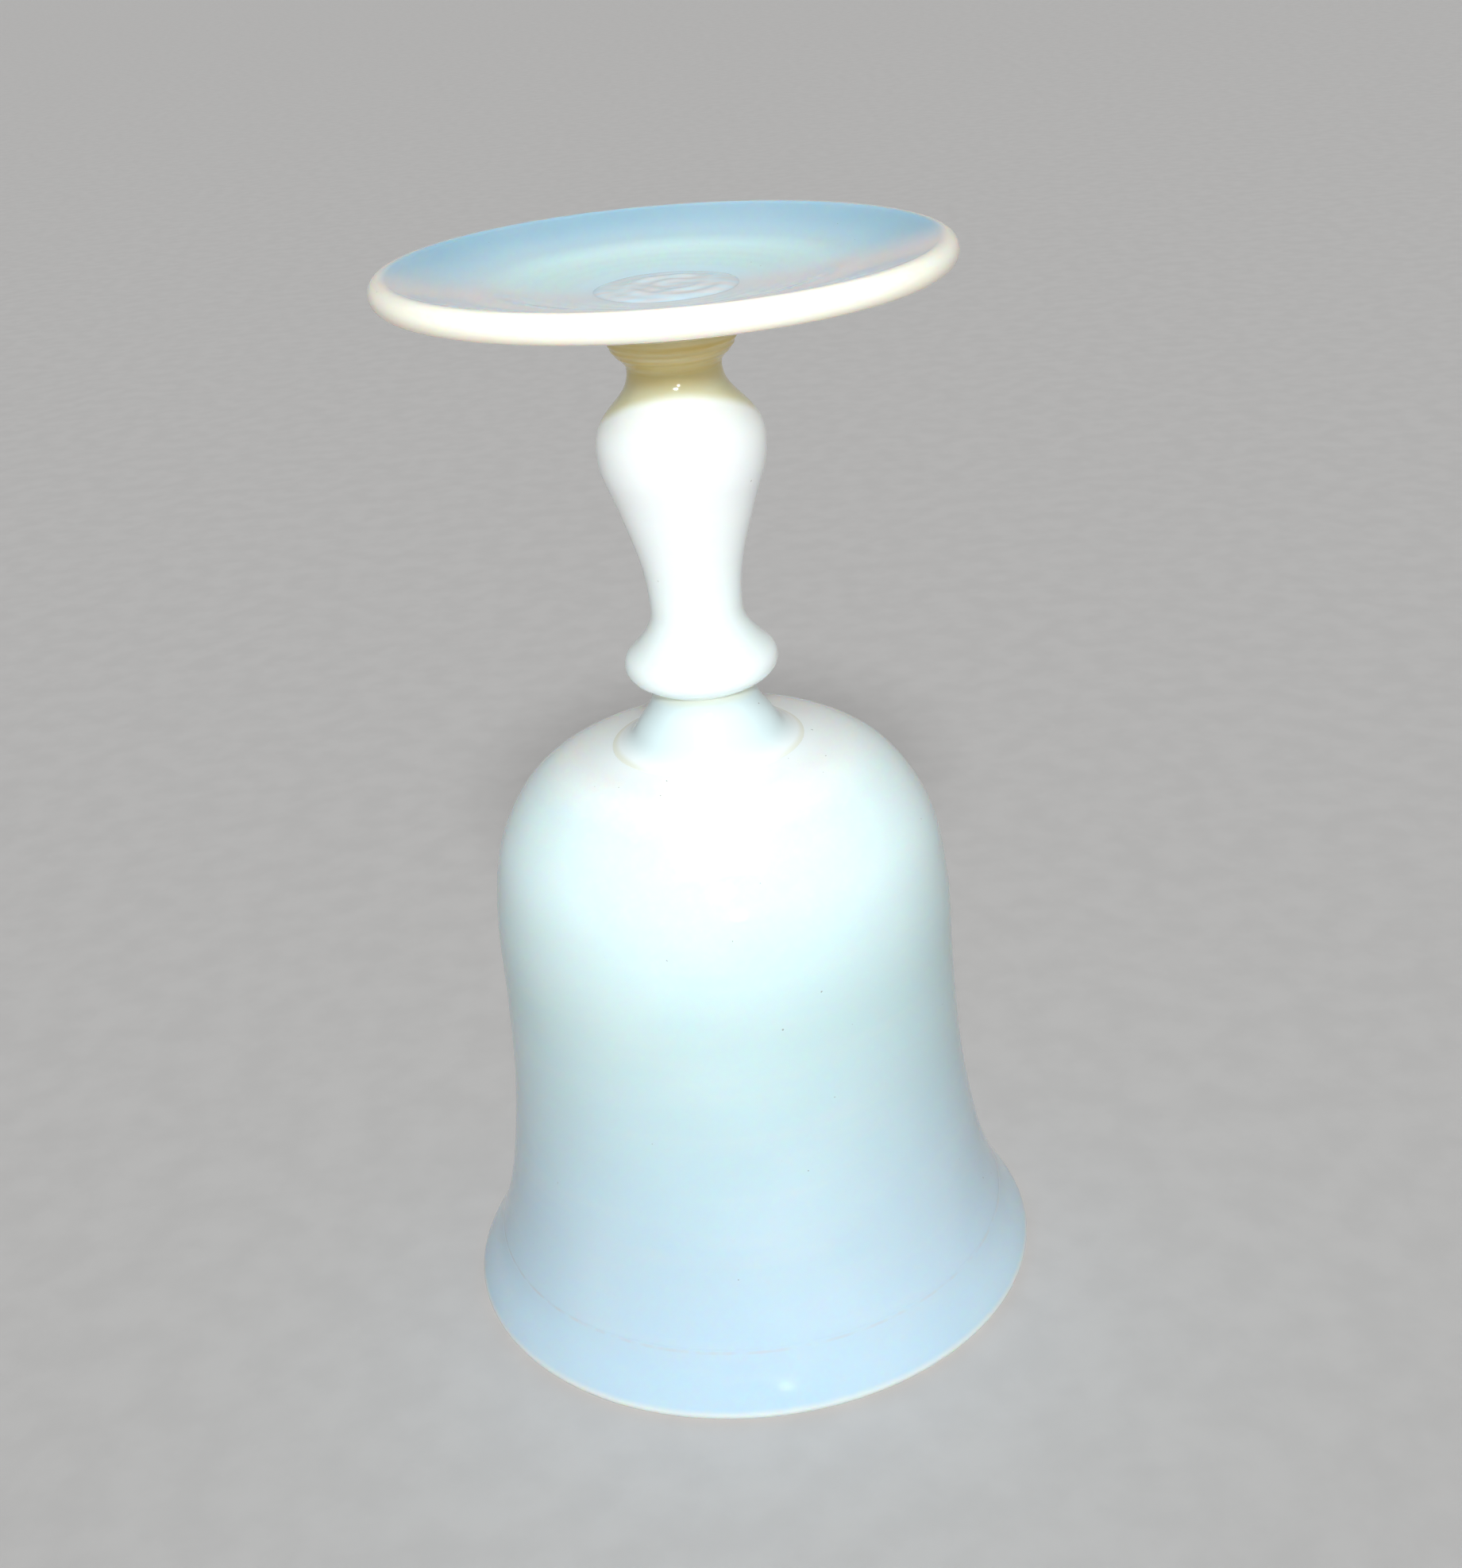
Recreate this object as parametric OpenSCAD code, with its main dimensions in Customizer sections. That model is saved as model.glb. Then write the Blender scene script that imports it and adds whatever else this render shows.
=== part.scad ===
// Footed opaline glass vase with a bell-shaped bowl, standing upside down on its rim.
// The pieces are round about +Z and are joined hot, each one face to face with the next.
// Origin: the centre of the rim's plane. The foot is on top.

/* [Bowl] */
// Outermost radius of the flared rim
rim_r = 56.7; // [53:0.1:62]
// Radius of the bowl's side where it is straightest
waist_r = 43.5; // [40:0.5:46]
// Height of the top of the crown above the rim's plane
bowl_h = 114.5; // [106:0.5:124]
// Thickness of the rounded rim
lip_t = 2; // [1.6:0.1:2.6]
// Thickness of the bowl's side
wall_t = 2.8; // [2:0.1:4]
// Thickness of the crown at its centre
crown_t = 5; // [4:0.25:7]

/* [Collar between the bowl and the stem] */
// Radius of the collar where its edge lies on the crown
collar_r = 17.8; // [16:0.2:20]
// Radius of the collar under the knop
collar_top_r = 9.7; // [8.6:0.1:10.4]
// Height of the collar's top face above the crown
collar_h = 9.8; // [8:0.2:12]
// Thickness of the collar's rounded edge
collar_edge_t = 0.8; // [0.5:0.1:1.2]

/* [Stem] */
// Length of the stem, from the collar to the narrowest part of the neck
stem_len = 56.8; // [48:0.2:66]
// Radius of the knop at the stem's lower end
knop_r = 13.9; // [12:0.1:15]
// Smallest radius between the knop and the swelling
stem_r = 8.3; // [7:0.1:9.4]
// Largest radius of the swelling
baluster_r = 14.8; // [13:0.1:17]
// Radius of the neck above the swelling
neck_r = 8.1; // [7:0.1:9]

/* [Foot] */
// Radius of the small collar under the foot
foot_collar_r = 11; // [10:0.1:12.5]
// Height of the small collar, from the neck to the foot
foot_collar_h = 7.4; // [6:0.2:9]
// Outermost radius of the foot
foot_r = 48.7; // [44:0.1:54]
// Height of the whole foot, from the small collar to its top edge
foot_h = 11.5; // [10.5:0.25:13]
// Thickness of the foot's rounded edge
foot_edge_t = 4.7; // [4:0.1:5.4]
// Depth of the hollow in the foot, at its centre
dish_depth = 6.3; // [5.4:0.1:7]
// Height of the ring-shaped ripple in the hollow
ripple_h = 0.5; // [0:0.1:0.8]
// Radius of that ripple
ripple_r = 29.5; // [24:0.5:34]
// Radius of the mark that the pontil rod left in the hollow
pontil_r = 12.5; // [8:0.5:15]
// Height of that mark
pontil_h = 1; // [0.6:0.1:1.6]

/* [Hidden] */
$fn = 128;

opal = [0.90, 0.95, 0.97];
amber = [0.80, 0.74, 0.52];

// Width of the flat ring that wear leaves on a round edge, where the piece rests.
wear_w = 0.8;
// Steps on each stretch between two stations, on each small arc, across the foot's hollow
// outside the pontil mark, and under the mark.
steps = 6;
arc_steps = 5;
hollow_steps = 18;
pontil_steps = 7;
// Handle length that makes a quarter turn between two stations nearly circular.
handle = 0.39;

// Heights of the joints between the pieces.
collar_top_z = bowl_h + collar_h;
neck_z = collar_top_z + stem_len;
foot_z = neck_z + foot_collar_h;
top_z = foot_z + foot_h;

function heading(a) = [cos(a), sin(a)];

// A point at t on the curve from station a to station b. A station is
// [radius, height, heading], with heading 0 outward, 90 up and 180 inward.
function curve_point(a, b, t) =
    let (p0 = [a[0], a[1]], p3 = [b[0], b[1]], reach = handle * norm(p3 - p0), s = 1 - t)
    let (p1 = p0 + reach * heading(a[2]), p2 = p3 - reach * heading(b[2]))
    s * s * s * p0 + 3 * s * s * t * p1 + 3 * s * t * t * p2 + t * t * t * p3;

// The smooth outline through a list of stations.
function flow(st) = concat(
    [for (i = [0:len(st) - 2], k = [0:steps - 1]) curve_point(st[i], st[i + 1], k / steps)],
    [curve_point(st[len(st) - 2], st[len(st) - 1], 1)]
);

// A station moved by t to the left of its heading, which is into the glass of an outer face.
function inset(st, t) = [st[0] - t * sin(st[2]), st[1] + t * cos(st[2]), st[2]];

function arc(centre, r, from, to) =
    [for (k = [0:arc_steps]) centre + r * heading(from + (to - from) * k / arc_steps)];

function reversed(list) = [for (i = [len(list) - 1:-1:0]) list[i]];
function tail(list) = [for (i = [1:len(list) - 1]) list[i]];

module lathe(pts) rotate_extrude() polygon(pts);

// ---- Bowl ----

lip_r = lip_t / 2;
lip_heading = 116;
lip_wear_angle = asin(wear_w / 2 / lip_r);
lip_centre = [rim_r - lip_r, lip_r * cos(lip_wear_angle)];
flare = rim_r - waist_r;

// The outer face from the lip to the axis.
outer = [
    concat(lip_centre + lip_r * heading(lip_heading - 90), lip_heading),
    [waist_r + 0.59 * flare, 0.1 * bowl_h, 110],
    [waist_r + 0.2 * flare, 0.28 * bowl_h, 99],
    [waist_r, 0.56 * bowl_h, 92],
    [0.975 * waist_r, 0.766 * bowl_h, 98.5],
    [0.86 * waist_r, 0.89 * bowl_h, 123],
    [0.67 * waist_r, 0.958 * bowl_h, 151],
    [collar_r, 0.987 * bowl_h, 168.5],
    [0, bowl_h, 180]
];
// The wall's thickness at each of those stations.
walls = [
    lip_t, 0.3 * lip_t + 0.7 * wall_t, wall_t, wall_t, wall_t,
    wall_t, 0.6 * wall_t + 0.4 * crown_t, crown_t, crown_t
];
inner = [for (i = [0:len(outer) - 1]) inset(outer[i], walls[i])];

module bowl() {
    color(opal)
        lathe(concat(
            arc(lip_centre, lip_r, lip_wear_angle - 90, lip_heading - 90),
            tail(flow(outer)),
            reversed(tail(flow(inner))),
            arc(lip_centre, lip_r, lip_heading + 90, 270 - lip_wear_angle)
        ));
}

// ---- Collar between the bowl and the stem ----

// The stretch of the crown that the collar lies on, from the collar's edge to the axis.
crown = [outer[7], outer[8]];
collar_edge_r = collar_edge_t / 2;
collar_edge_centre = [collar_r - collar_edge_r, crown[0][1] + collar_edge_r];

module bowl_collar() {
    color(opal)
        lathe(concat(
            reversed(flow(crown)),
            arc(collar_edge_centre, collar_edge_r, -30, 75),
            flow([
                [0.82 * collar_r, bowl_h, 152],
                [0.7 * collar_r, bowl_h + 0.28 * collar_h, 124],
                [collar_top_r, collar_top_z, 97]
            ]),
            [[0, collar_top_z]]
        ));
}

// ---- Stem: the knop, the swelling and the neck are one gather of glass ----

module stem() {
    color(opal)
        lathe(concat(
            [[0, collar_top_z]],
            flow([
                [1.02 * collar_top_r, collar_top_z, 10],
                [knop_r, collar_top_z + 0.075 * stem_len, 90],
                [0.49 * (knop_r + stem_r), collar_top_z + 0.152 * stem_len, 130],
                [stem_r, collar_top_z + 0.252 * stem_len, 90],
                [0.525 * (stem_r + baluster_r), collar_top_z + 0.584 * stem_len, 73],
                [baluster_r, collar_top_z + 0.766 * stem_len, 90],
                [0.74 * baluster_r, collar_top_z + 0.901 * stem_len, 134],
                [neck_r, neck_z, 91]
            ]),
            [[0, neck_z]]
        ));
}

// ---- Small collar under the foot ----

// Radius of the joint between the small collar and the foot.
joint_r = 1.12 * foot_collar_r;

module foot_collar() {
    color(amber)
        lathe(concat(
            [[0, neck_z]],
            flow([
                [neck_r, neck_z, 89],
                [0.95 * foot_collar_r, neck_z + 0.45 * foot_collar_h, 60],
                [foot_collar_r, neck_z + 0.75 * foot_collar_h, 96],
                [joint_r, foot_z, 20]
            ]),
            [[0, foot_z]]
        ));
}

// ---- Foot ----

edge_r = foot_edge_t / 2;
edge_wear_angle = asin(wear_w / 2 / edge_r);
edge_centre = [foot_r - edge_r, top_z - edge_r * cos(edge_wear_angle)];
// Angles on the rounded edge where the under side and the hollow begin.
under_angle = -78;
dish_angle = 118;
dish_start = edge_centre + edge_r * heading(dish_angle);
// Half width of the ripple.
ripple_w = 5;

// Height of the hollow's floor at radius r: a shallow bowl with one soft ring-shaped ripple.
function dish_z(r) =
    let (x = r / dish_start[0], d = (r - ripple_r) / ripple_w)
    top_z - dish_depth + (dish_depth - top_z + dish_start[1]) * x * x + ripple_h * exp(-d * d);

// The hollow's floor between two radii, in n steps.
function floor_points(from, to, n) =
    [for (k = [0:n]) let (r = from + (to - from) * k / n) [r, dish_z(r)]];
pontil_floor = floor_points(0, pontil_r, pontil_steps);

module foot() {
    color(opal)
        lathe(concat(
            [[0, foot_z]],
            flow([
                [joint_r, foot_z, 8],
                [0.65 * foot_r, foot_z + 0.3 * foot_h, 11],
                concat(edge_centre + edge_r * heading(under_angle), under_angle + 90)
            ]),
            tail(arc(edge_centre, edge_r, under_angle, 90 - edge_wear_angle)),
            arc(edge_centre, edge_r, 90 + edge_wear_angle, dish_angle),
            tail(reversed(floor_points(pontil_r, dish_start[0], hollow_steps))),
            tail(reversed(pontil_floor))
        ));
}

// ---- Pontil mark: the rough disc of glass left where the pontil rod was snapped off ----

// A soft edge, a raised ring and a shallow crater inside it, on the hollow's floor.
module pontil_mark() {
    color(opal)
        lathe(concat(
            pontil_floor,
            tail(flow([
                [pontil_r, dish_z(pontil_r), 115],
                [0.78 * pontil_r, dish_z(0.78 * pontil_r) + pontil_h, 180],
                [0.35 * pontil_r, dish_z(0) + 0.55 * pontil_h, 184],
                [0, dish_z(0) + 0.45 * pontil_h, 180]
            ]))
        ));
}

bowl();
bowl_collar();
stem();
foot_collar();
foot();
pontil_mark();
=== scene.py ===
"""Looks for the footed opaline vase with a bell-shaped bowl, stood upside down on its rim.

Every piece of glass is round about the Z axis, so each one is a lathed mesh of its own that
stands for its CAD node. Lengths in this file are metres. MM turns millimetres into metres.
"""

import math

import bpy
import numpy as np
from mathutils import Matrix, Vector


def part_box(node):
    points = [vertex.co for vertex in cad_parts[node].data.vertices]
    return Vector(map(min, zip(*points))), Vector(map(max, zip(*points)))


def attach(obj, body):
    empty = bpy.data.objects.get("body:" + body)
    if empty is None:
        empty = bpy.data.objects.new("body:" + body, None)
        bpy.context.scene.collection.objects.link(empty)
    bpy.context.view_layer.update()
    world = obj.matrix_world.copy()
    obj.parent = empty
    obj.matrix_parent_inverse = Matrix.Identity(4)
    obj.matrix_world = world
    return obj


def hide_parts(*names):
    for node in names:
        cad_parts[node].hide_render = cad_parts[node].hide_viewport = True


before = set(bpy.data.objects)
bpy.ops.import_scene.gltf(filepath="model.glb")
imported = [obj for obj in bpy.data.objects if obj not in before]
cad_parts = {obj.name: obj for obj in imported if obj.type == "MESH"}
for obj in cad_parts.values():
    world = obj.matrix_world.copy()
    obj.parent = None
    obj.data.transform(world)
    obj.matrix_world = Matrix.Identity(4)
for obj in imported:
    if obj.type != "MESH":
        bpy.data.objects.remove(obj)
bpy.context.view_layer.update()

MM = 0.001

# ---- Places and sizes, from the CAD frame ----


def top_of(node):
    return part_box(node)[1].z


def radius_of(node):
    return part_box(node)[1].x


RIM_R = radius_of("bowl")
CROWN_Z = top_of("bowl")
COLLAR_R = radius_of("bowl_collar")
COLLAR_TOP_Z = top_of("bowl_collar")
BALUSTER_R = radius_of("stem")
NECK_Z = top_of("stem")
FOOT_Z = top_of("foot_collar")
FOOT_R = radius_of("foot")
TOP_Z = top_of("foot")
PONTIL_R = radius_of("pontil_mark")

# Radii that the boxes don't give: the same values as in the CAD source.
WAIST_R = 43.5 * MM
COLLAR_TOP_R = 9.7 * MM
KNOP_R = 13.9 * MM
STEM_R = 8.3 * MM
NECK_R = 8.1 * MM
FOOT_COLLAR_R = 11 * MM
JOINT_R = 1.12 * FOOT_COLLAR_R
LIP_R = 1.0 * MM
FOOT_EDGE_R = 2.35 * MM
RIPPLE_R = 29.5 * MM

# Wall of the bowl in millimetres at each of its stations, from the lip to the crown's middle.
BOWL_WALLS = [2, 2.6, 2.8, 2.8, 2.8, 2.8, 3.7, 5, 5]

# The depth of the hollow in the foot, and the height of the pontil mark in its middle.
DISH_DEPTH = 6.3 * MM
PONTIL_HEIGHT = 0.85 * MM

# The faint line that runs round the flare, like the edge of a folded rim.
FOLD_LINE_Z = 11.6 * MM

# Lathe resolution: segments round the axis, and steps on each stretch of an outline.
SEGMENTS = 288
STEPS = 14

# How far a curve holds its heading at a station, as a share of the way to the next one.
HOLD = 0.39

# Edges sharper than this, in degrees, aren't shaded smooth.
CREASE_ANGLE = 55

# ---- Outlines: lists of (radius, height) ----


def bump(x):
    """A soft peak, 1 at zero and next to nothing beyond 2 either way."""
    return np.exp(-x * x)


def heading(degrees):
    """The direction at an angle from outwards (0) towards upwards (90)."""
    a = math.radians(degrees)
    return np.array([math.cos(a), math.sin(a)])


def stretch(a, b, steps=STEPS):
    """Points on the curve between two stations (radius, height, heading), without the last."""
    p0, p3 = np.array(a[:2]), np.array(b[:2])
    reach = HOLD * np.linalg.norm(p3 - p0)
    p1, p2 = p0 + reach * heading(a[2]), p3 - reach * heading(b[2])
    t = np.linspace(0, 1, steps, endpoint=False)[:, None]
    s = 1 - t
    return s**3 * p0 + 3 * s * s * t * p1 + 3 * s * t * t * p2 + t**3 * p3


def flow(stations, steps=STEPS):
    """The smooth outline through stations, both ends included."""
    runs = [stretch(a, b, steps) for a, b in zip(stations, stations[1:])]
    return np.vstack(runs + [np.array([stations[-1][:2]])])


def arc(centre, radius, start, end, steps):
    """Points round a centre, from one heading to another, both ends included."""
    angles = np.linspace(start, end, steps + 1)
    return np.array([np.array(centre) + radius * heading(a) for a in angles])


def inset(station, t):
    """A station moved by t to the left of its heading, which is into the glass."""
    a = math.radians(station[2])
    return (station[0] - t * math.sin(a), station[1] + t * math.cos(a), station[2])


def with_ring(outline, z, half_width, depth):
    """Cuts a fine groove round a rising outline at height z, with points enough to show it."""
    above = int(np.argmax(outline[:, 1] > z + 3 * half_width))
    below = outline[:above][outline[:above, 1] < z - 3 * half_width]
    heights = z + half_width * np.linspace(-2.5, 2.5, 11)
    radii = np.interp(heights, outline[: above + 1, 1], outline[: above + 1, 0])
    radii -= depth * bump(math.sqrt(2) * (heights - z) / half_width)
    return np.vstack([below, np.stack([radii, heights], 1), outline[above:]])


# ---- Meshes ----


def lathe(name, outline, wobble=None, segments=SEGMENTS):
    """A closed mesh of revolution round an outline that starts and ends on the axis.

    wobble(radius, height, angle) returns the change in radius and in height, as arrays."""
    on_axis = outline[:, 0] < 1e-9
    ring = np.repeat(outline[:, None, :], segments, axis=1)
    angle = np.broadcast_to(np.arange(segments) * 2 * math.pi / segments, ring.shape[:2])
    if wobble:
        dr, dz = wobble(ring[..., 0], ring[..., 1], angle)
        ring = np.stack([ring[..., 0] + dr, ring[..., 1] + dz], -1)
    verts, rows = [], []
    for k, flat in enumerate(on_axis):
        if flat:
            rows.append([len(verts)] * segments)
            verts.append((0.0, 0.0, float(ring[k, :, 1].mean())))
            continue
        rows.append(list(range(len(verts), len(verts) + segments)))
        r, z, a = ring[k, :, 0], ring[k, :, 1], angle[k]
        verts.extend(np.stack([r * np.cos(a), r * np.sin(a), z], 1).tolist())
    faces = []
    for low, high in zip(rows, rows[1:]):
        for i in range(segments):
            j = (i + 1) % segments
            corners = [low[i], low[j], high[j], high[i]]
            face = [v for n, v in enumerate(corners) if v != corners[n - 1]]
            if len(face) > 2:
                faces.append(face)
    mesh = bpy.data.meshes.new(name)
    mesh.from_pydata(verts, [], faces)
    mesh.validate()
    mesh.polygons.foreach_set("use_smooth", [True] * len(mesh.polygons))
    mesh.set_sharp_from_angle(angle=math.radians(CREASE_ANGLE))
    piece = bpy.data.objects.new(name, mesh)
    bpy.context.scene.collection.objects.link(piece)
    return piece


def out_of_round(amount, phase):
    """The slight oval of hand-worked glass. It only pulls the surface in."""
    fades_within = 10 * MM

    def wobble(r, z, a):
        dr = -0.5 * amount * (1 + np.cos(2 * a + phase)) * np.minimum(r / fades_within, 1)
        return dr, np.zeros_like(z)

    return wobble


# ---- The bowl ----

# Where the lip's roundness ends and the outside of the flare starts, in degrees.
LIP_ANGLE = 26

# Stations are (radius, height, heading in degrees). The collar stands between these two.
CROWN_EDGE = (COLLAR_R, 0.987 * CROWN_Z, 168.5)
CROWN_TOP = (0.0, CROWN_Z, 180)


def bowl_stations():
    """The outside of the bowl, from the lip up to the middle of the crown."""
    flare = RIM_R - WAIST_R
    lip = np.array([RIM_R - LIP_R, LIP_R]) + LIP_R * heading(LIP_ANGLE)
    return [
        (lip[0], lip[1], 116),
        (WAIST_R + 0.59 * flare, 0.1 * CROWN_Z, 110),
        (WAIST_R + 0.2 * flare, 0.28 * CROWN_Z, 99),
        (WAIST_R, 0.56 * CROWN_Z, 92),
        (0.975 * WAIST_R, 0.766 * CROWN_Z, 98.5),
        (0.86 * WAIST_R, 0.89 * CROWN_Z, 123),
        (0.67 * WAIST_R, 0.958 * CROWN_Z, 151),
        CROWN_EDGE,
        CROWN_TOP,
    ]


def bowl_wobble(r, z, a):
    """An oval of a tenth of a millimetre, and a fold line that isn't quite level."""
    dr, dz = out_of_round(0.12 * MM, 0.6)(r, z, a)
    near_line = bump((z - FOLD_LINE_Z) / (4 * MM))
    dz = dz + near_line * (0.5 * np.cos(a + 1.2) + 0.12 * np.sin(3 * a)) * MM
    return dr, dz


def make_bowl():
    """Down the inside, round the lip and up the outside."""
    stations = bowl_stations()
    inner = [inset(s, wall * MM) for s, wall in zip(stations, BOWL_WALLS)]
    lip = arc((RIM_R - LIP_R, LIP_R), LIP_R, LIP_ANGLE - 180, LIP_ANGLE, 16)
    outer = with_ring(flow(stations), FOLD_LINE_Z, 0.25 * MM, 0.035 * MM)
    outline = np.vstack([flow(inner)[::-1], lip[1:-1], outer])
    return lathe("bowl_glass", outline, bowl_wobble)


# ---- The collar between the bowl and the stem ----


def make_bowl_collar():
    """Out along the crown under it, then up its flare, which starts from a knife edge."""
    height = COLLAR_TOP_Z - CROWN_Z
    flare = [
        (COLLAR_R, CROWN_EDGE[1] + 0.04 * MM, 162),
        (0.84 * COLLAR_R, CROWN_Z - 0.2 * MM, 152),
        (0.7 * COLLAR_R, CROWN_Z + 0.28 * height, 124),
        (COLLAR_TOP_R, COLLAR_TOP_Z, 74),
    ]
    under = flow([CROWN_EDGE, CROWN_TOP])[::-1]
    outline = np.vstack([under, flow(flare), [(0.0, COLLAR_TOP_Z)]])

    def wobble(r, z, a):
        """The edge isn't cut: it runs out a little further on one side than on the other."""
        at_edge = bump((r - COLLAR_R) / (2.5 * MM))
        dr = -at_edge * (0.18 + 0.12 * np.cos(a - 0.8) + 0.06 * np.sin(3 * a)) * MM
        return dr, np.zeros_like(z)

    return lathe("bowl_collar_glass", outline, wobble)


# ---- The stem ----


def make_stem():
    """Knop, waist, baluster and neck, from the collar's top up to the small collar."""
    length = NECK_Z - COLLAR_TOP_Z
    stations = [
        (1.01 * COLLAR_TOP_R, COLLAR_TOP_Z, 30),
        (KNOP_R, COLLAR_TOP_Z + 0.075 * length, 90),
        (0.49 * (KNOP_R + STEM_R), COLLAR_TOP_Z + 0.152 * length, 130),
        (STEM_R, COLLAR_TOP_Z + 0.252 * length, 90),
        (0.525 * (STEM_R + BALUSTER_R), COLLAR_TOP_Z + 0.584 * length, 73),
        (BALUSTER_R, COLLAR_TOP_Z + 0.766 * length, 90),
        (0.74 * BALUSTER_R, COLLAR_TOP_Z + 0.901 * length, 134),
        (NECK_R, NECK_Z, 91),
    ]
    outline = np.vstack([[(0.0, COLLAR_TOP_Z)], flow(stations), [(0.0, NECK_Z)]])
    return lathe("stem_glass", outline, out_of_round(0.1 * MM, 2.1))


# ---- The small collar under the foot ----


def make_foot_collar():
    """A low ring round the neck that widens into the foot."""
    height = FOOT_Z - NECK_Z
    stations = [
        (NECK_R, NECK_Z, 89),
        (0.95 * FOOT_COLLAR_R, NECK_Z + 0.45 * height, 60),
        (FOOT_COLLAR_R, NECK_Z + 0.75 * height, 96),
        (JOINT_R, FOOT_Z, 20),
    ]
    outline = np.vstack([[(0.0, NECK_Z)], flow(stations, 30), [(0.0, FOOT_Z)]])

    def wobble(r, z, a):
        """Fine rings that the jacks leave, each a little uneven round the neck."""
        up = (z - NECK_Z) / height
        shown = (r > 0.9 * NECK_R) * np.sin(np.clip(up, 0, 1) * math.pi)
        rings = np.sin(up * 44 + 0.5 * np.sin(a + 0.4) + 0.3 * np.sin(2 * a))
        return shown * (0.05 * rings - 0.05) * MM, np.zeros_like(z)

    return lathe("foot_collar_glass", outline, wobble)


# ---- The foot ----

# The middle of its rounded edge, and the headings at which the edge meets its two sides.
EDGE_CENTRE = np.array([FOOT_R - FOOT_EDGE_R, TOP_Z - FOOT_EDGE_R])
UNDER_ANGLE = -78
DISH_ANGLE = 118

# The hollow's rim, as a radius and a height, and the height of its deepest point.
DISH_R, DISH_TOP_Z = EDGE_CENTRE + FOOT_EDGE_R * heading(DISH_ANGLE)
DISH_LOW_Z = TOP_Z - DISH_DEPTH


def dish_z(r):
    """Height of the hollow's floor, a shallow bowl."""
    return DISH_LOW_Z + (DISH_TOP_Z - DISH_LOW_Z) * (r / DISH_R) ** 2


def foot_wobble(r, z, a):
    """One soft ring-shaped ripple in the hollow, higher on one side, and an uneven edge."""
    in_dish = (z > dish_z(r) - 0.3 * MM) * (r < DISH_R)
    height = 0.36 - 0.2 * np.sin(a) + 0.05 * np.cos(3 * a + 1.1)
    ripple = height * bump((r - RIPPLE_R) / (3.6 * MM))
    rings = 0.006 * bump((r - 20 * MM) / (9 * MM)) * np.sin(r / MM * 2.1 + 0.8 * np.cos(2 * a))
    dz = in_dish * (ripple + rings) * MM
    at_edge = bump((r - FOOT_R) / (6 * MM))
    dr = -at_edge * (0.1 + 0.06 * np.cos(2 * a + 0.4) + 0.04 * np.cos(3 * a)) * MM
    return dr, dz


def make_foot():
    """Out along the under side, round the edge and in across the hollow."""
    under = EDGE_CENTRE + FOOT_EDGE_R * heading(UNDER_ANGLE)
    below = [
        (JOINT_R, FOOT_Z, 8),
        (0.65 * FOOT_R, FOOT_Z + 0.3 * (TOP_Z - FOOT_Z), 11),
        (under[0], under[1], 12),
    ]
    edge = arc(EDGE_CENTRE, FOOT_EDGE_R, UNDER_ANGLE, DISH_ANGLE, 28)
    radii = np.linspace(DISH_R, 0, 90)
    hollow = np.stack([radii, dish_z(radii)], 1)
    outline = np.vstack([[(0.0, FOOT_Z)], flow(below, 20), edge[1:-1], hollow])
    return lathe("foot_glass", outline, foot_wobble)


# ---- The pontil mark ----


def pontil_wobble(r, z, a):
    """Broken glass, fire-polished: an uneven outline, and two terraces round one side."""
    x, y = r * np.cos(a), r * np.sin(a)
    from_scar = np.hypot(x - 1.6 * MM, y + 1.1 * MM)
    on_top = z > dish_z(r) + 0.02 * MM
    inside = np.clip(1 - (r / PONTIL_R) ** 4, 0, 1)
    wide_terrace = 0.16 * bump((from_scar - 8 * MM) / (1.5 * MM))
    small_terrace = 0.12 * bump((from_scar - 4.2 * MM) / (1.2 * MM))
    chips = 0.05 * np.sin(x / MM * 0.9 + 1.4 * np.sin(y / MM * 0.6))
    dz = on_top * inside * (wide_terrace + small_terrace + chips - 0.08) * MM
    dr = -0.02 * r * (1 + 0.6 * np.cos(2 * a + 0.5) + 0.4 * np.cos(5 * a))
    return dr, dz


def make_pontil_mark():
    """Out along the hollow's floor, and back over its low top. It needs fewer segments."""
    radii = np.linspace(0, PONTIL_R, 24)
    below = np.stack([radii, dish_z(radii)], 1)
    top = [
        (PONTIL_R, dish_z(PONTIL_R), 165),
        (0.6 * PONTIL_R, dish_z(0.6 * PONTIL_R) + 0.85 * PONTIL_HEIGHT, 174),
        (0.35 * PONTIL_R, DISH_LOW_Z + PONTIL_HEIGHT, 180),
        (0.0, DISH_LOW_Z + 0.9 * PONTIL_HEIGHT, 180),
    ]
    outline = np.vstack([below, flow(top)[1:]])
    return lathe("pontil_mark_glass", outline, pontil_wobble, SEGMENTS // 2)


# ---- Materials ----


def set_range(node, low, high, to_low, to_high):
    """Makes a Map Range node a smooth step."""
    node.interpolation_type = "SMOOTHSTEP"
    node.inputs["From Min"].default_value = low
    node.inputs["From Max"].default_value = high
    node.inputs["To Min"].default_value = to_low
    node.inputs["To Max"].default_value = to_high


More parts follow.
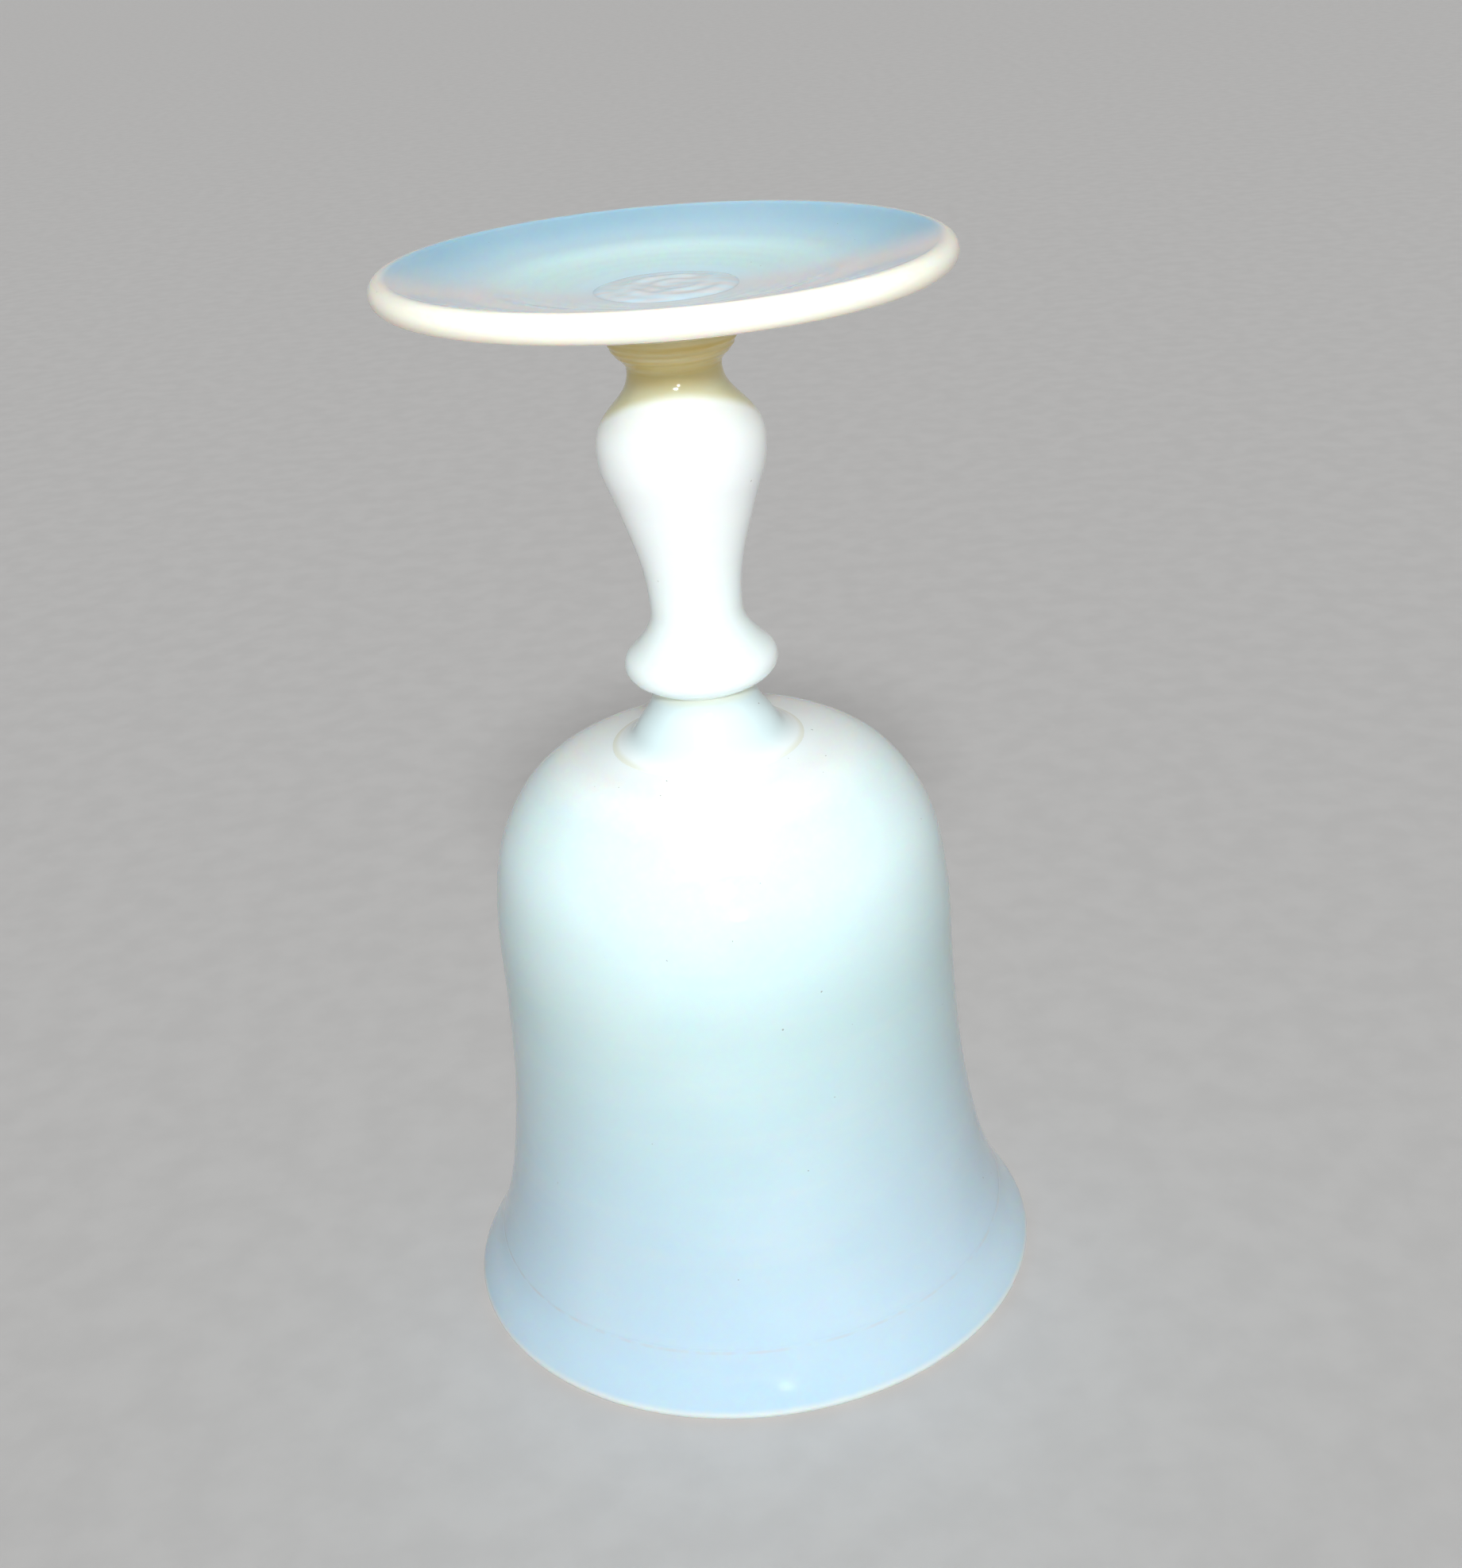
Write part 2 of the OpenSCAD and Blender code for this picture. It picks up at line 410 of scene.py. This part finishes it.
class Shader:
    """A node tree with short ways to add nodes and join them."""

    def __init__(self, name):
        self.material = bpy.data.materials.new(name)
        self.material.use_nodes = True
        self.tree = self.material.node_tree
        self.bsdf = self.tree.nodes["Principled BSDF"]
        self.place = self.add("ShaderNodeTexCoord").outputs["Object"]
        split = self.add("ShaderNodeSeparateXYZ", Vector=self.place)
        self.x, self.y, self.z = split.outputs
        x_squared = self.math("MULTIPLY", self.x, self.x)
        y_squared = self.math("MULTIPLY", self.y, self.y)
        self.r = self.math("SQRT", self.math("ADD", x_squared, y_squared))

    def add(self, kind, **inputs):
        """A new node, with a number, a colour or another node's output for each input."""
        node = self.tree.nodes.new(kind)
        for key, value in inputs.items():
            self.put(node.inputs[key], value)
        return node

    def put(self, socket, value):
        """Joins the socket to another node's output, or sets it to a number or a colour."""
        if isinstance(value, bpy.types.NodeSocket):
            self.tree.links.new(value, socket)
        else:
            socket.default_value = value

    def math(self, operation, a, b=0.0):
        node = self.add("ShaderNodeMath")
        node.operation = operation
        self.put(node.inputs[0], a)
        self.put(node.inputs[1], b)
        return node.outputs[0]

    def ramp(self, value, low, high, to_low=0.0, to_high=1.0):
        """A smooth step from to_low to to_high as value goes from low to high."""
        node = self.add("ShaderNodeMapRange", Value=value)
        set_range(node, low, high, to_low, to_high)
        return node.outputs["Result"]

    def noise(self, scale, detail=2.0, squeeze=(1, 1, 1), offset=(0, 0, 0)):
        """Noise from 0 to 1, with scale features per metre, times squeeze along each axis."""
        mapping = self.add("ShaderNodeMapping", Vector=self.place, Scale=squeeze, Location=offset)
        node = self.add("ShaderNodeTexNoise", Vector=mapping.outputs[0], Scale=scale, Detail=detail)
        return node.outputs["Fac"]

    def mix(self, factor, a, b):
        """Colour a where factor is 0, and colour b where it is 1."""
        node = self.add("ShaderNodeMix")
        node.data_type = "RGBA"
        node.clamp_factor = True
        colour_a, colour_b, result = node.inputs[6], node.inputs[7], node.outputs[2]
        self.put(node.inputs[0], factor)
        self.put(colour_a, a)
        self.put(colour_b, b)
        return result


# Colours, from the whitest to the bluest, then the warm ones and dust.
MILK = (0.95, 0.98, 0.98, 1)
PALE_MILK = (0.88, 0.965, 0.96, 1)
ICE = (0.70, 0.90, 1.0, 1)
SOFT_WHITE = (0.71, 0.83, 0.85, 1)
# Painted shade over the glass's own blue, for the bowl's lower body.
SHADED_BLUE_WHITE = (0.58, 0.74, 0.76, 1)
PALE_BLUE = (0.53, 0.68, 0.79, 1)
SKY_BLUE = (0.385, 0.60, 0.74, 1)
# Painted warm glow of light coming through thin glass at the edges.
WARM_WHITE = (1.0, 0.86, 0.75, 1)
PINK_GREY = (0.88, 0.79, 0.77, 1)
ROSE_LINE = (0.62, 0.47, 0.42, 1)
# Partly the glass's own amber, partly painted shade where the foot shades the neck.
AMBER = (0.70, 0.55, 0.19, 1)
# Painted shade: under the knop, in the crease at the collar's edge, and where the foot shades the
# stem, neck and its own under side.
KHAKI_SHADE = (0.74, 0.70, 0.46, 1)
DUST = (0.16, 0.13, 0.10, 1)

# How far red, green and blue light go into the glass, each as a share of the depth.
SPREAD = (1.0, 0.5, 0.3)

# The share of light that goes in right at a joint, and how far from it the rest is reached.
JOINT_SHARE = 0.1
JOINT_FADE = 6 * MM

# The fire-polished skin: its least roughness, and the strength of the waves in it.
SKIN_ROUGHNESS = 0.05
SKIN_WAVES = 0.12


def opaline(name, colour_of, depth, through, joint_r=None):
    """Opaline glass under a fire-polished skin. Red light goes furthest into it.

    A thin wall lets the red out on its other side, so it looks bluer than a thick one.
    depth is how far light goes, in millimetres, and through is the share that goes in.
    Less goes in close to joint_r, the edge of a piece that is stuck on, because that piece
    would otherwise throw a dark ring into the glass.
    colour_of(shader) returns the colour before the fine variation that every piece has."""
    s = Shader(name)
    colour = colour_of(s)
    cloud = s.ramp(s.noise(24, 3), 0.4, 0.75, 0.0, 0.12)
    colour = s.mix(cloud, colour, MILK)
    cords = s.ramp(s.noise(30, 2, squeeze=(1, 1, 9), offset=(3, 1, 0)), 0.45, 0.75, 0.0, 0.06)
    colour = s.mix(cords, colour, PINK_GREY)
    specks = s.ramp(s.noise(900, 1, offset=(0.7, 0.2, 0.4)), 0.815, 0.835, 0.0, 0.6)
    colour = s.mix(specks, colour, DUST)
    s.put(s.bsdf.inputs["Base Color"], colour)

    smears = s.noise(60, 4, squeeze=(1, 1, 2.5), offset=(1, 5, 2))
    skin = s.ramp(smears, 0.4, 0.75, SKIN_ROUGHNESS, SKIN_ROUGHNESS + 0.08)
    s.put(s.bsdf.inputs["Roughness"], skin)
    s.bsdf.inputs["IOR"].default_value = 1.5

    share = through
    if joint_r:
        share = s.ramp(s.r, joint_r, joint_r + JOINT_FADE, JOINT_SHARE, through)
    s.put(s.bsdf.inputs["Subsurface Weight"], share)
    s.bsdf.inputs["Subsurface Radius"].default_value = SPREAD
    s.bsdf.inputs["Subsurface Scale"].default_value = depth * MM

    waves = s.noise(45, 2, squeeze=(1, 1, 1.8), offset=(4, 4, 4))
    fine = s.noise(420, 2, squeeze=(1, 1, 1.5))
    relief = s.add("ShaderNodeBump", Height=s.math("ADD", waves, s.math("MULTIPLY", fine, 0.04)))
    relief.inputs["Strength"].default_value = SKIN_WAVES
    relief.inputs["Distance"].default_value = 0.6 * MM
    s.put(s.bsdf.inputs["Normal"], relief.outputs["Normal"])
    return s.material


def bowl_colour(s):
    """Milk white at the crown, bluer and darker down to the rim, partly the glass's blue and partly
    painted shade of light falling off downwards, a broken warm line, and a warm lip that is a
    painted glow of light through its thin glass.
    """
    # Painted shade: the bowl darkens from the crown down as the light falls off, over the glass's
    # own blue.
    colour = s.mix(s.ramp(s.z, 0.987 * CROWN_Z, 0.934 * CROWN_Z), MILK, SOFT_WHITE)
    colour = s.mix(s.ramp(s.z, 0.943 * CROWN_Z, 0.611 * CROWN_Z), colour, SHADED_BLUE_WHITE)
    colour = s.mix(s.ramp(s.z, 0.742 * CROWN_Z, 0.07 * CROWN_Z), colour, PALE_BLUE)
    off_line = s.math("ABSOLUTE", s.math("SUBTRACT", s.z, FOLD_LINE_Z))
    broken = s.ramp(s.noise(260, 2), 0.35, 0.65, 0.0, 0.24)
    line = s.math("MULTIPLY", broken, s.ramp(off_line, 0.4 * MM, 0.1 * MM))
    colour = s.mix(line, colour, ROSE_LINE)
    # The warm lip is a painted glow of light through the thin glass.
    return s.mix(s.ramp(s.z, 2.4 * MM, 0.8 * MM, 0.0, 0.7), colour, WARM_WHITE)


def collar_colour(s):
    """Bluer than the crown, into which it fades, with khaki painted shade under the knop.

    The edge has khaki painted shade too, from the crease against the crown, on one stretch at
    either side."""
    colour = s.mix(s.ramp(s.r, 0.72 * COLLAR_R, 0.97 * COLLAR_R), SOFT_WHITE, MILK)
    # Painted shade under the knop.
    colour = s.mix(s.ramp(s.z, COLLAR_TOP_Z - 2.5 * MM, COLLAR_TOP_Z, 0.0, 0.5), colour, KHAKI_SHADE)
    # Painted shade in the crease at the edge, on the two stretches to either side.
    to_a_side = s.ramp(s.math("ABSOLUTE", s.x), 0.5 * COLLAR_R, 0.85 * COLLAR_R, 0.0, 0.4)
    edge = s.ramp(s.r, COLLAR_R - 1.6 * MM, COLLAR_R - 0.4 * MM)
    return s.mix(s.math("MULTIPLY", edge, to_a_side), colour, KHAKI_SHADE)


def stem_colour(s):
    """White, turning to khaki over the shoulder, highest up in front: the foot's shadow painted on
    the stem. Then amber, partly the glass's colour and partly the same painted shade.
    """
    low = s.ramp(s.z, NECK_Z - 20 * MM, NECK_Z - 45 * MM)
    # Painted shadow of the foot: khaki above an edge that stands higher in front.
    in_front = s.math("MINIMUM", s.y, 0.0)
    painted_shadow_z = s.math("ADD", s.z, s.math("MULTIPLY", in_front, 0.6))
    shoulder = NECK_Z - 8.6 * MM
    colour = s.mix(low, MILK, PALE_MILK)
    colour = s.mix(s.ramp(painted_shadow_z, shoulder - 1.5 * MM, shoulder + 1.5 * MM), colour, KHAKI_SHADE)
    # Amber near the neck: partly the glass's colour, partly painted shade of the foot.
    return s.mix(s.ramp(s.z, NECK_Z - 3 * MM, NECK_Z, 0.0, 0.75), colour, AMBER)


def neck_colour(s):
    """Amber, partly the glass's warm colour and partly painted shade of the foot's shadow, with
    fine level striations of painted reflection off its rings, and paler where it joins the foot.
    """
    streaks = s.noise(120, 3, squeeze=(1, 1, 12))
    # Painted shade in amber, with paler streaks that paint reflections off the rings.
    colour = s.mix(s.ramp(streaks, 0.3, 0.7, 0.0, 0.4), AMBER, KHAKI_SHADE)
    return s.mix(s.ramp(s.z, FOOT_Z - 3 * MM, FOOT_Z, 0.0, 0.7), colour, KHAKI_SHADE)


def above_dish(s):
    """Height over the hollow's floor: the shader's own copy of dish_z."""
    rise = (DISH_TOP_Z - DISH_LOW_Z) / DISH_R**2
    floor = s.math("MULTIPLY", s.math("MULTIPLY", s.r, s.r), rise)
    return s.math("SUBTRACT", s.math("SUBTRACT", s.z, DISH_LOW_Z), floor)


def foot_colour(s):
    """Blue hollow, ice-coloured in its middle, with pink-grey painted shade on its near side, khaki
    painted shade on the under side towards the neck, and a warm edge that is a painted glow of
    light through the thin rim.
    """
    hollow = s.mix(s.ramp(s.r, 0.926 * FOOT_R, 0.494 * FOOT_R), SKY_BLUE, ICE)
    # Painted shade: pink-grey over the hollow's half towards -Y, with a wandering edge.
    wander = s.math("MULTIPLY", s.math("SUBTRACT", s.noise(30, 2), 0.5), 16 * MM)
    side = s.ramp(s.math("ADD", s.y, wander), 8 * MM, -10 * MM, 0.0, 0.8)
    hollow = s.mix(side, hollow, PINK_GREY)
    # Painted shade: khaki on the under side towards the neck.
    under = s.mix(s.ramp(s.r, 0.7 * FOOT_R, 0.37 * FOOT_R), PALE_MILK, KHAKI_SHADE)
    colour = s.mix(s.ramp(above_dish(s), -3 * MM, -1.5 * MM), under, hollow)
    # Painted glow of light through the thin rim, in warm white.
    rim = s.ramp(s.r, FOOT_R - 3.4 * MM, FOOT_R - 1.6 * MM, 0.0, 0.9)
    return s.mix(rim, colour, WARM_WHITE)


def pontil_colour(s):
    """Greyer than the foot, with nested streaks."""
    streaks = s.noise(200, 2, squeeze=(1, 2.2, 1))
    return s.mix(s.ramp(streaks, 0.35, 0.65, 0.2, 0.8), ICE, PINK_GREY)


# ---- Scene: floor, lights, camera ----


def floor_material():
    """Plain matt card, in two greys that hardly differ."""
    s = Shader("floor_card")
    grain = s.ramp(s.noise(90, 4), 0.3, 0.7)
    darker, lighter = (0.58, 0.58, 0.58, 1), (0.61, 0.61, 0.61, 1)
    s.put(s.bsdf.inputs["Base Color"], s.mix(grain, darker, lighter))
    s.bsdf.inputs["Roughness"].default_value = 0.75
    return s.material


def make_floor():
    reach = 6.0
    mesh = bpy.data.meshes.new("floor")
    corners = [(-reach, -reach, 0), (reach, -reach, 0), (reach, reach, 0), (-reach, reach, 0)]
    mesh.from_pydata(corners, [], [(0, 1, 2, 3)])
    floor = bpy.data.objects.new("floor", mesh)
    mesh.materials.append(floor_material())
    bpy.context.scene.collection.objects.link(floor)
    return floor


def towards(azimuth, elevation):
    """A direction away from the object. Azimuth 0 is the camera's side."""
    a, e = math.radians(azimuth), math.radians(elevation)
    return Vector((math.sin(a) * math.cos(e), -math.cos(a) * math.cos(e), math.sin(e)))


def lamp(name, light, away, distance, receivers):
    """Places a light that looks at the object's middle and lights only the receivers."""
    piece = bpy.data.objects.new(name, light)
    piece.location = Vector((0, 0, 0.5 * TOP_Z)) + away * distance
    piece.rotation_euler = away.to_track_quat("Z", "Y").to_euler()
    piece.light_linking.receiver_collection = receivers
    bpy.context.scene.collection.objects.link(piece)
    return piece


def soft_box(name, away, distance, size, watts, colour, receivers):
    """A rectangular light, size in metres across and up."""
    light = bpy.data.lights.new(name, "AREA")
    light.shape = "RECTANGLE"
    light.size, light.size_y = size
    light.energy = watts
    light.color = colour
    return lamp(name, light, away, distance, receivers)


def collection(name, objects):
    """A collection outside the scene, which only says what a light reaches."""
    group = bpy.data.collections.new(name)
    for piece in objects:
        group.objects.link(piece)
    return group


def make_lights(floor, pieces):
    """A frontal key like the camera's own, a low fill, a wide top light, and a warm back light.

    The back light shows through the glass and not in its gloss. The floor has a light of
    its own, so that it is evenly pale however near the key is."""
    glass = collection("lit_glass", pieces)
    cool, white, warm = (0.90, 0.98, 1.0), (1.0, 0.97, 0.92), (1.0, 0.76, 0.62)
    soft_box("key", towards(0, 32.5), 0.42, (0.05, 0.03), 1.15, cool, glass)
    soft_box("fill", towards(6.5, 16), 1.0, (0.08, 0.08), 1.3, white, glass)
    soft_box("top", towards(0, 62), 1.2, (0.9, 0.9), 9.2, cool, glass)
    back = soft_box("back", towards(165, 4.5), 1.2, (0.9, 0.12), 3.4, warm, glass)
    back.visible_glossy = False
    sun = bpy.data.lights.new("floor_light", "SUN")
    sun.energy = 3.0
    sun.angle = math.radians(14)
    lamp("floor_light", sun, towards(0, 40), 1.0, collection("lit_floor", [floor]))


def make_surroundings():
    """A backdrop as pale as the floor near the horizon, and dimmer overhead."""
    world = bpy.data.worlds.new("studio")
    world.use_nodes = True
    tree = world.node_tree
    direction = tree.nodes.new("ShaderNodeTexCoord")
    split = tree.nodes.new("ShaderNodeSeparateXYZ")
    fade = tree.nodes.new("ShaderNodeMapRange")
    at_horizon, overhead = 0.45, 0.13
    set_range(fade, 0.0, 0.5, at_horizon, overhead)
    tree.links.new(direction.outputs["Generated"], split.inputs[0])
    tree.links.new(split.outputs["Z"], fade.inputs["Value"])
    background = tree.nodes["Background"]
    tree.links.new(fade.outputs["Result"], background.inputs["Strength"])
    background.inputs["Color"].default_value = (1.0, 0.96, 0.91, 1)
    bpy.context.scene.world = world


# Where the camera stood and how it was turned, as solved from the object's outline.
CAMERA_BACK = 340 * MM
CAMERA_HEIGHT = 259.3 * MM
CAMERA_YAW = 2.3
CAMERA_PITCH = 27.4
CAMERA_ROLL = -4.3
CAMERA_LENS = 46.1
CAMERA_SHIFT = (-0.040, 0.058)


def make_camera():
    """It looks ahead along Y, yawed to the right, pitched down and rolled."""
    yaw, pitch, roll = (math.radians(d) for d in (CAMERA_YAW, CAMERA_PITCH, CAMERA_ROLL))
    level_ahead = Vector((math.sin(yaw), math.cos(yaw), 0))
    ahead = math.cos(pitch) * level_ahead - math.sin(pitch) * Vector((0, 0, 1))
    level_right = Vector((math.cos(yaw), -math.sin(yaw), 0))
    level_up = level_right.cross(ahead)
    right = math.cos(roll) * level_right + math.sin(roll) * level_up
    up = right.cross(ahead)
    turn = Matrix((right, up, -ahead)).transposed()
    data = bpy.data.cameras.new("camera")
    data.lens = CAMERA_LENS
    data.shift_x, data.shift_y = CAMERA_SHIFT
    data.clip_start = 0.01
    camera = bpy.data.objects.new("camera", data)
    camera.matrix_world = Matrix.Translation((0, -CAMERA_BACK, CAMERA_HEIGHT)) @ turn.to_4x4()
    bpy.context.scene.collection.objects.link(camera)
    bpy.context.scene.camera = camera


# ---- Assembly ----


def dress(piece, node, material):
    """Makes a piece stand for a CAD node and its finish."""
    piece.data.materials.append(material)
    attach(piece, "root")
    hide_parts(node)
    return piece


def make_glass():
    """The six pieces. Light goes deep into the bowl and the foot, and a little into the rest.

    It doesn't go into the collar, whose thin edge would turn dark."""
    bowl = opaline("opaline_bowl", bowl_colour, 5, 1.0, COLLAR_R)
    collar = opaline("opaline_collar", collar_colour, 0.8, 0.0)
    stem = opaline("opaline_stem", stem_colour, 1.2, 0.3)
    neck = opaline("amber_neck", neck_colour, 0.8, 0.4)
    foot = opaline("opaline_foot", foot_colour, 4, 1.0, PONTIL_R)
    pontil = opaline("pontil_glass", pontil_colour, 1, 0.4)
    return [
        dress(make_bowl(), "bowl", bowl),
        dress(make_bowl_collar(), "bowl_collar", collar),
        dress(make_stem(), "stem", stem),
        dress(make_foot_collar(), "foot_collar", neck),
        dress(make_foot(), "foot", foot),
        dress(make_pontil_mark(), "pontil_mark", pontil),
    ]


def main():
    bpy.context.scene.view_settings.view_transform = "Standard"
    make_camera()
    make_surroundings()
    make_lights(make_floor(), make_glass())


main()
